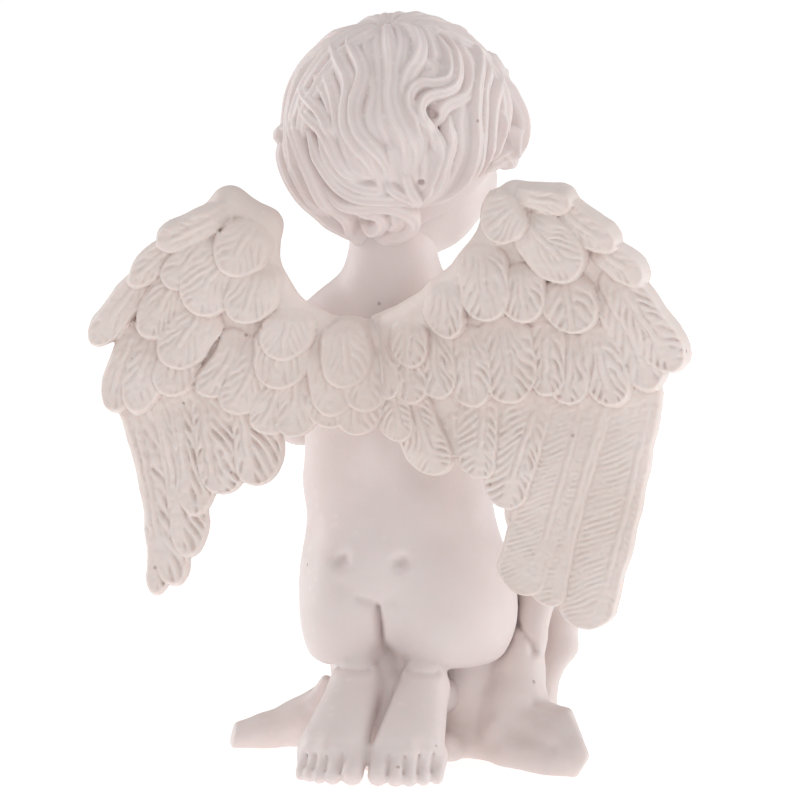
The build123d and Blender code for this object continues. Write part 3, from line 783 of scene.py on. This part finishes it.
def spread_hair(clay):
    """The mass that the locks lie on. It sinks into the skin below the hairline."""
    middle = in_head(*HAIR_CENTRE)
    index, x, y, z = clay.around([middle], 18)
    axes = x - middle[0], y - middle[1], z - middle[2]
    dx, dy, dz = turned(axes, about_z=HEAD_TURN)
    distance = np.sqrt(dx**2 + dy**2 + dz**2)
    rx, ry, rz = HAIR_RADII
    near = np.sqrt((dx / rx) ** 2 + (dy / ry) ** 2 + (dz / rz) ** 2)
    angle = np.degrees(np.arctan2(np.abs(dx), -(dy + HAIR_CENTRE[1])))
    below = np.interp(angle, *HAIRLINE) - (dz + HAIR_CENTRE[2])
    sunk = 0.4 + 5.0 * smooth_step((below + 0.8) / 3.5)
    clay.join(index, (distance * (1 - 1 / near) + sunk).astype(np.float32), 0.4)


def head_direction(tilt, around):
    """A direction that leans from the whorl by a tilt, turned about it, in degrees. It is in
    the figure's frame, and 0 around is towards the face."""
    front = np.array((0, -1.0, 0)) - WHORL * -WHORL[1]
    front /= np.linalg.norm(front)
    left = np.cross(front, WHORL)
    a, t = radians(around), radians(tilt)
    local = WHORL * cos(t) + (front * cos(a) + left * sin(a)) * sin(t)
    return in_head(*local) - HEAD_CENTRE


def hairline_tilt(around):
    """How far from the whorl the hair ends, going that way round."""
    for tilt in range(20, 150, 3):
        point = on_hair(head_direction(tilt, around)) - HEAD_CENTRE
        dx, dy, dz = turned(point, about_z=HEAD_TURN)
        if dz < np.interp(degrees(atan2(abs(dx), -dy)), *HAIRLINE):
            return tilt
    return 150


def lay_falling_locks(clay, rng):
    """Wavy locks from the whorl to the hairline, all round but for the back of the head."""
    back = view_axes()[2]
    for n in range(FALLING_LOCKS):
        around = 360 * (n + rng.uniform(-0.25, 0.25)) / FALLING_LOCKS
        end = hairline_tilt(around)
        sway, phase = rng.uniform(4, 8), rng.uniform(0, 2 * np.pi)
        tilts = np.linspace(rng.uniform(5, 14), end - rng.uniform(0, 6), 8)
        tilts = [tilt for tilt in tilts if head_direction(tilt, around) @ back < BACK_OF_HEAD]
        if len(tilts) < 4:
            continue
        points = []
        for tilt in tilts:
            swing = sway * sin(phase + tilt / 11) / max(sin(radians(tilt)), 0.4)
            lift = rng.uniform(-0.2, 0.2)
            points.append(on_hair(head_direction(tilt, around + swing), lift))
        lay_lock(clay, points, rng.uniform(2.8, 3.8), rng.uniform(1.2, 1.9), 3)


def lay_back_locks(clay):
    """The locks on the back of the head, the upper ones from the whorl, and the holes there."""
    whorl = in_head(*WHORL) - HEAD_CENTRE
    for width, height, points in BACK_LOCKS:
        path = [from_behind(*point) for point in points]
        if points[0][1] > WHORL_LOCKS:
            first = path[0] - in_head(*HAIR_CENTRE)
            path.insert(0, on_hair(0.6 * whorl + 0.4 * first / np.linalg.norm(first)))
        lay_lock(clay, path, 1.15 * width, height, 2)
    for place, radius in HOLLOWS:
        deep, open_end = from_behind(*place, 0.5), from_behind(*place, 3)
        clay.limb(deep, open_end, radius, 1.2 * radius, 0.4, cut=True)


def lay_hair(clay):
    """All the hair, with two rows of curls over the forehead and the temples."""
    spread_hair(clay)
    rng = np.random.default_rng(5)
    lay_falling_locks(clay, rng)
    lay_back_locks(clay)
    for n, around in enumerate(range(-66, 67, 22)):
        place = head_direction(hairline_tilt(around) - 4, around)
        lay_curl(clay, place, rng.uniform(2.0, 2.7), 90 + 140 * n, (-1) ** n, 0.2)
    for n, around in enumerate(range(-72, 73, 29)):
        tilt = hairline_tilt(around) - rng.uniform(17, 24)
        place = head_direction(tilt, around + rng.uniform(-5, 5))
        lay_curl(clay, place, rng.uniform(2.2, 2.9), 40 + 150 * n, (-1) ** (n + 1), 0.1)


# ---------------------------------------------------------------- the arms


PALM_GAP = 0.06  # between the two hands, mm


def sculpt_arm(side):
    """A round child's arm, bent so that its flat hand meets the other one before the chest."""
    clay = Clay((-2, -25, 36), (20, 7, 66), MIDDLE)
    clay.limb((9.0, -0.8, 53.6), (13.0, -6.2, 43.2), 4.7, 3.6, 1.5)
    clay.egg((12.2, -4.0, 48.2), (3.9, 3.9, 5.2), 1.5)
    clay.limb((13.0, -6.5, 43.0), (5.0, -14.4, 49.2), 3.6, 2.5, 1.5)
    clay.egg((10.6, -9.4, 44.8), (3.7, 3.7, 3.5), 2)
    clay.limb((4.6, -14.8, 49.6), (1.9, -16.4, 51.6), 2.0, 1.9, 0.8)
    clay.egg((1.5, -16.8, 54.0), (1.35, 2.5, 3.6), 0.8, about_x=12)
    for finger, top in enumerate((59.6, 60.4, 60.0, 58.6)):
        front = -18.6 + 1.15 * finger
        clay.limb((1.1, front + 0.5, 55.5), (0.75, front, top), 0.75, 0.6, 0.25)
    clay.limb((1.9, -15.2, 53.2), (1.5, -14.2, 57.0), 0.85, 0.7, 0.5)
    clay.begin_creases()
    clay.crease(((6.6, -15.6, 48.6), (5.0, -12.4, 48.0), (4.0, -12.2, 50.6)), 0.5, 0.5)
    clay.crease(((14.4, -2.6, 44.2), (11.0, -4.0, 43.6), (9.6, -7.2, 46.0)), 0.6, 0.4)
    clay.end_creases()
    _, x, _, _ = clay.everywhere()
    clay.field = np.maximum(clay.field, PALM_GAP / 2 - x)
    return clay.mesh("left_child_arm" if side > 0 else "right_child_arm", side)


# ---------------------------------------------------------------- the drapery


def sculpt_drapery():
    """The cloth that the figure kneels on and that lies over its lap."""
    clay = Clay((-34, -36, -1), (26, 24, 34), MIDDLE)
    sculpt_lap(clay)
    sculpt_ground_cloth(clay)
    sculpt_right_folds(clay)
    clay.cut_below(0)
    return clay.mesh("kneeling_cloth")


# The folds of the lap from the belly down to the ground before the knees, each as
# (x, y, z, radius) stations.
LAP_FOLDS = (
    ((9.2, -8, 24.2, 0.9), (9.8, -15.6, 18.0, 1.3),
     (9.4, -22.2, 8.6, 1.6), (9.8, -24.6, 1.6, 2.0)),
    ((5.4, -9, 26.6, 0.9), (5.2, -17.2, 19.8, 1.4),
     (5.6, -25.2, 9.6, 1.7), (6.2, -27.0, 1.6, 2.0)),
    ((1.8, -9.4, 26.8, 0.8), (1.0, -17.6, 20.6, 1.3),
     (0.6, -26.2, 8.6, 1.7), (1.0, -27.8, 1.4, 2.1)),
    ((-2.4, -9.4, 26.8, 0.9), (-3.6, -17.8, 21.0, 1.5),
     (-4.6, -26.6, 8.4, 1.9), (-5.0, -28.2, 1.4, 2.2)),
    ((-7.4, -9, 27.8, 0.9), (-8.6, -17.4, 21.6, 1.3),
     (-9.8, -25.6, 10.4, 1.6), (-10.8, -27.2, 1.6, 2.1)),
    ((-11.6, -8, 27.0, 0.9), (-13.0, -16.0, 20.4, 1.4),
     (-13.8, -22.8, 10.0, 1.6), (-14.6, -24.8, 1.6, 2.0)),
    ((-15.0, -7, 23.2, 0.9), (-16.4, -13.8, 16.6, 1.3),
     (-16.2, -18.6, 9.0, 1.5), (-16.0, -20.8, 1.8, 1.9)),
)


def sculpt_lap(clay):
    """The cloth over the thighs, its hem at the belly, and its fall in front of the knees."""
    clay.limb((3.8, -4.0, 18.6), (5.0, -18.6, 9.8), 7.2, 5.8, 3)
    clay.limb((-8.4, -4.0, 19.6), (-11.8, -18.2, 10.8), 8.0, 6.4, 3)
    clay.limb((-2.0, -6.0, 19.0), (-3.0, -19.6, 9.2), 8.0, 7.0, 4)
    clay.limb((4.8, -20.2, 4.5), (-11.8, -20.4, 4.5), 5.5, 5.5, 4)
    _, _, y, _ = clay.everywhere()
    clay.field = smooth_max(clay.field, y + 4.0, 1.2)
    hem = (
        (10.4, -4.4, 17, 1.0), (9.8, -5.2, 22.4, 1.1), (6, -7.4, 26.2, 1.3),
        (-1.0, -8.4, 26.4, 1.5), (-8, -7.0, 27.8, 1.4), (-13.8, -5.2, 25.4, 1.3),
        (-16.2, -4.4, 21, 1.3),
    )
    clay.chain(hem, 1.4)
    for fold in LAP_FOLDS:
        clay.roll(smooth_path(fold, 4), 2.4)
    clay.begin_creases()
    for a, b in zip(LAP_FOLDS, LAP_FOLDS[1:]):
        valley = (np.array(a) + np.array(b))[:, :3] / 2
        valley[0] = (2 * valley[0] + valley[1]) / 3  # it starts below the hem
        clay.crease(smooth_path(valley, 3), 1.3, 0.5)
    clay.end_creases()


def sculpt_ground_cloth(clay):
    """The cloth under the shins and between the feet, with its corner beside the left knee."""
    clay.egg((-2, -13, 0.4), (16.5, 16.0, 4.2), 2)
    clay.egg((-1, -2, 0.4), (12, 7, 5.0), 2)
    clay.egg((-2.6, -23.6, 0.2), (13, 6.0, 3.0), 2)
    clay.limb((-1.2, 2, 4.5), (-1.0, 13, 1.5), 3.6, 3.0, 1.5)
    clay.limb((-9.5, -2, 4.5), (-15, -6, 6.0), 4.6, 4.6, 2)
    clay.limb((-10.2, -1.4, 12.0), (-11.4, -0.6, 4.0), 4.8, 4.4, 2)
    corner = (
        (8.6, -2.4, 4.6, 3.6), (12.4, -0.8, 3.0, 3.0), (16.6, 0.4, 1.8, 2.4), (20.6, 1.0, 1.0, 2.0),
    )
    clay.chain(corner, 1.0)
    ridge = (
        (8.6, 0.6, 9.0, 0.8), (10.2, 0.2, 5.9, 1.2), (13.2, -0.2, 4.2, 1.2), (17, 0.4, 3.0, 0.9),
        (20.6, 1.0, 2.0, 0.8),
    )
    clay.chain(ridge, 0.8)
    clay.cut_beyond((16, -10, -1), (26, 12, 12), (21.3, 1.2, 0), (1, 0.25, 0.2), 0.4)


def sculpt_right_folds(clay):
    """The roll on the ground beside the right foot and the folds that stand on it."""
    clay.chain(((-15.6, 2.6, 3.0, 3.2), (-20.0, 4.4, 3.6, 3.8), (-24.6, 7.6, 3.6, 4.2)), 2.0)
    clay.chain(((-18.0, 6.6, 1.8, 2.4), (-22.4, 9.8, 1.8, 2.6), (-26.2, 12.2, 1.8, 2.8)), 2.4)
    edge = (
        (-8.4, 6, 1.6, 2.0), (-9.8, 1.4, 1.6, 2.0), (-12.6, 2.2, 1.2, 2.4), (-17.4, 7.2, 0.8, 2.2),
        (-22.6, 11.6, 0.6, 2.0),
    )
    clay.chain(edge, 2.0)
    low, high = (-34, -1, -1), (-19, 22, 14)  # the box round the roll's end
    clay.cut_beyond(low, high, (-25.9, 8.0, 5.0), (-0.93, -0.19, 0.35), 0.7)
    clay.cut_beyond(low, high, (-27.6, 12.0, 2.2), (-0.85, 0, -0.53), 0.5)
    near_fold = (
        (-19.2, -5.0, 23.5, 1.9), (-19.0, -3.4, 20.5, 2.2), (-18.0, -1.2, 15.0, 2.2),
        (-17.0, 0.4, 11.0, 3.2), (-17.0, 2.4, 7.2, 3.8), (-16.6, 4.0, 4.0, 4.0),
    )
    clay.chain(near_fold, 1.0)
    clay.limb((-14.8, -3.6, 12.0), (-15.0, 0.4, 6.0), 3.2, 4.2, 2.0)
    far_fold = (
        (-19.2, -9, 20.0, 1.6), (-21.2, -9.4, 15.6, 2.2), (-21.1, -9.2, 12.6, 2.3),
        (-19.4, -8, 9, 1.8), (-18.6, -5, 4, 2.6),
    )
    clay.chain(far_fold, 0.9)
    clay.begin_creases()
    pinch = (-15.6, 0, 18.0), (-17.4, 0, 16.0), (-18.6, 0, 15.0), (-18.9, 0, 13.8)
    clay.crease(pinch, 0.5, 0.7, from_back=True)
    clay.crease(((-14.2, 3.6, 6.6), (-16.8, 8.2, 4.6), (-23, 12.4, 3.2)), 1.2, 0.5)
    clay.crease(((-18.6, 4.6, 7.8), (-22, 7.2, 7.4), (-26, 9.2, 6.4)), 0.9, 0.35)
    clay.end_creases()


# ---------------------------------------------------------------- assembly

pieces = {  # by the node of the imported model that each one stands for
    "body": sculpt_body(),
    "head": sculpt_head(),
    "left_arm": sculpt_arm(1),
    "right_arm": sculpt_arm(-1),
    "drapery": sculpt_drapery(),
    "left_wing": sculpt_wing("feathered_left_wing", LEFT_WING, LEFT_ARM, LEFT_WEB, 1, 11),
    "right_wing": sculpt_wing("feathered_right_wing", RIGHT_WING, RIGHT_ARM, RIGHT_WEB, -1, 12),
}


class Nodes:
    """Builds a material's node tree, in the object's own coordinates."""

    def __init__(self, name):
        self.material = bpy.data.materials.new(name)
        self.material.use_nodes = True
        self.tree = self.material.node_tree
        self.shader = self.tree.nodes["Principled BSDF"]
        self.place = self.tree.nodes.new("ShaderNodeTexCoord").outputs["Object"]

    def add(self, kind, **inputs):
        """A new node, with the given values or links on its inputs."""
        node = self.tree.nodes.new(kind)
        for name, value in inputs.items():
            self.set(node.inputs[name.replace("_", " ")], value)
        return node

    def set(self, socket, value):
        """Links an output to a socket, or gives the socket a constant."""
        if isinstance(value, bpy.types.NodeSocket):
            self.tree.links.new(value, socket)
        else:
            socket.default_value = value

    def noise(self, grain, detail=2.0):
        """A cloud between 0 and 1, with lumps of about the given size, m."""
        node = self.add("ShaderNodeTexNoise", Vector=self.place, Scale=1 / grain, Detail=detail)
        return node.outputs["Fac"]

    def ramp(self, value, low, high, start=0.0, end=1.0):
        """Runs from start to end while the value runs from low to high, and stays there."""
        node = self.add("ShaderNodeMapRange", Value=value)
        limits = {"From Min": low, "From Max": high, "To Min": start, "To Max": end}
        for name, number in limits.items():
            node.inputs[name].default_value = number
        return node.outputs["Result"]

    def maths(self, operation, first, second):
        """A sum or a comparison of two values."""
        node = self.tree.nodes.new("ShaderNodeMath")
        node.operation = operation
        self.set(node.inputs[0], first)
        self.set(node.inputs[1], second)
        return node.outputs[0]

    def blend(self, share, first, second):
        """A mix of two colours."""
        node = self.tree.nodes.new("ShaderNodeMix")
        node.data_type = "RGBA"
        self.set(node.inputs[0], share)
        for socket, colour in ((node.inputs[6], first), (node.inputs[7], second)):
            self.set(socket, colour if isinstance(colour, bpy.types.NodeSocket) else (*colour, 1))
        return node.outputs[2]


BUBBLE_SPACING = 0.0034  # between places where a cast-in bubble may be, m
BUBBLES_FROM = 0.72  # a place has one if its random value is above this
PAINTED_EDGE_HIGHLIGHT = (0.93, 0.86, 0.84)  # the painted highlight laid on the resin's edges and ridges


def resin(name, clear, cloudy, painted_shade):
    """Cast resin: clouded, with painted shade that darkens and warms its hollows and its bubble
    pits, a painted highlight on its edges, a fine skin and bubble pits.
    """
    nodes = Nodes(name)
    clouds = nodes.ramp(nodes.noise(0.011, 4.0), 0.35, 0.65)
    bend = nodes.add("ShaderNodeNewGeometry").outputs["Pointiness"]
    colour = nodes.blend(clouds, clear, cloudy)
    # painted shade: a darker, warmer colour laid into creases and hollows where the pointiness is
    # low
    colour = nodes.blend(nodes.ramp(bend, 0.5, 0.4, 0.0, 0.5), colour, painted_shade)
    # painted highlight: a lighter colour laid on ridges where the pointiness is high
    colour = nodes.blend(nodes.ramp(bend, 0.52, 0.6, 0.0, 0.15), colour, PAINTED_EDGE_HIGHLIGHT)

    cells = nodes.add("ShaderNodeTexVoronoi", Vector=nodes.place, Scale=1 / BUBBLE_SPACING)
    chosen = nodes.maths("GREATER_THAN", cells.outputs["Color"], BUBBLES_FROM)
    spot = nodes.ramp(cells.outputs["Distance"], 0.05, 0.085, 1.0, 0.0)
    pit = nodes.maths("MULTIPLY", spot, chosen)
    # painted shade: the bubble pits take the darker colour of the hollows
    colour = nodes.blend(nodes.maths("MULTIPLY", pit, 0.7), colour, painted_shade)
    nodes.set(nodes.shader.inputs["Base Color"], colour)

    skin = nodes.maths("MULTIPLY", nodes.noise(0.0005, 3.0), 0.5)
    waves = nodes.maths("ADD", skin, nodes.noise(0.0016, 2.0))
    height = nodes.maths("SUBTRACT", waves, nodes.maths("MULTIPLY", pit, 2.5))
    bump = nodes.add("ShaderNodeBump", Strength=0.7, Distance=0.00008, Height=height)
    nodes.set(nodes.shader.inputs["Normal"], bump.outputs["Normal"])
    roughness = nodes.ramp(nodes.noise(0.003), 0.3, 0.7, 0.42, 0.58)
    nodes.set(nodes.shader.inputs["Roughness"], roughness)
    nodes.shader.inputs["Subsurface Weight"].default_value = 0.3
    nodes.shader.inputs["Subsurface Radius"].default_value = (1.0, 0.62, 0.5)
    nodes.shader.inputs["Subsurface Scale"].default_value = 0.0009
    nodes.shader.inputs["IOR"].default_value = 1.5
    return nodes.material


COLOURS = {  # clear, cloudy, and the painted shade in the hollows
    "body_resin": ((0.80, 0.715, 0.70), (0.76, 0.67, 0.65), (0.50, 0.38, 0.34)),
    # the wings' resin is a warmer copy of the body's: painted light that stands for light shining
    # through the thin wings
    "wing_resin": ((0.80, 0.705, 0.67), (0.75, 0.65, 0.61), (0.48, 0.36, 0.31)),
    "drapery_resin": ((0.82, 0.73, 0.71), (0.78, 0.685, 0.66), (0.50, 0.38, 0.34)),
}
MATERIALS = {slot: resin(slot, *colours) for slot, colours in COLOURS.items()}
SLOTS = {"left_wing": "wing_resin", "right_wing": "wing_resin", "drapery": "drapery_resin"}
for node, piece in pieces.items():
    slot = SLOTS.get(node, "body_resin")
    piece.data.materials.append(MATERIALS[slot])
    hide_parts(node)
    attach(piece, "root")

# ---------------------------------------------------------------- stage, light and camera


LIT = Vector((0, 0, 0.05))  # what the lights aim at
LIGHTS = {  # position, size, m, and power, W
    "top": ((0, 0.1, 0.9), 0.6, 1.5),
    "left": ((0.8, -0.25, 0.3), 0.5, 2.4),
    "right": ((-0.8, -0.25, 0.3), 0.5, 2.4),
    "key": ((-0.3, 0.9, 0.6), 0.4, 1.3),
}


def area_light(name, position, size, energy):
    """A square soft light."""
    data = bpy.data.lights.new(name, "AREA")
    data.size = size
    data.energy = energy
    lamp = bpy.data.objects.new(name, data)
    lamp.location = position
    lamp.rotation_euler = (LIT - Vector(position)).to_track_quat("-Z", "Y").to_euler()
    bpy.context.scene.collection.objects.link(lamp)


def add_floor():
    """A wide pale floor that glows a little, so that it fades into the backdrop."""
    bpy.ops.mesh.primitive_plane_add(size=8, location=(0, 0, 0))
    floor = bpy.context.object
    floor.name = "floor"
    material = bpy.data.materials.new("floor")
    material.use_nodes = True
    shader = material.node_tree.nodes["Principled BSDF"]
    shader.inputs["Base Color"].default_value = (0.9, 0.9, 0.9, 1)
    shader.inputs["Roughness"].default_value = 0.8
    shader.inputs["Emission Color"].default_value = (1, 1, 1, 1)
    shader.inputs["Emission Strength"].default_value = 0.5
    floor.data.materials.append(material)


add_floor()
world = bpy.data.worlds.new("world")
world.use_nodes = True
world.node_tree.nodes["Background"].inputs["Color"].default_value = (1, 1, 1, 1)
world.node_tree.nodes["Background"].inputs["Strength"].default_value = 0.4
bpy.context.scene.world = world
bpy.context.scene.view_settings.view_transform = "Standard"
for name, (position, size, power) in LIGHTS.items():
    area_light(name, position, size, power)

target = Vector((-0.0002, 0.0083, 0.0476))
toward = Vector(view_axes()[2])
camera_data = bpy.data.cameras.new("camera")
camera_data.sensor_width = SENSOR
camera_data.lens = SENSOR * CAMERA_DISTANCE / VIEW_ACROSS
camera = bpy.data.objects.new("camera", camera_data)
camera.location = target + CAMERA_DISTANCE * toward
camera.rotation_euler = (-toward).to_track_quat("-Z", "Y").to_euler()
bpy.context.scene.collection.objects.link(camera)
bpy.context.scene.camera = camera
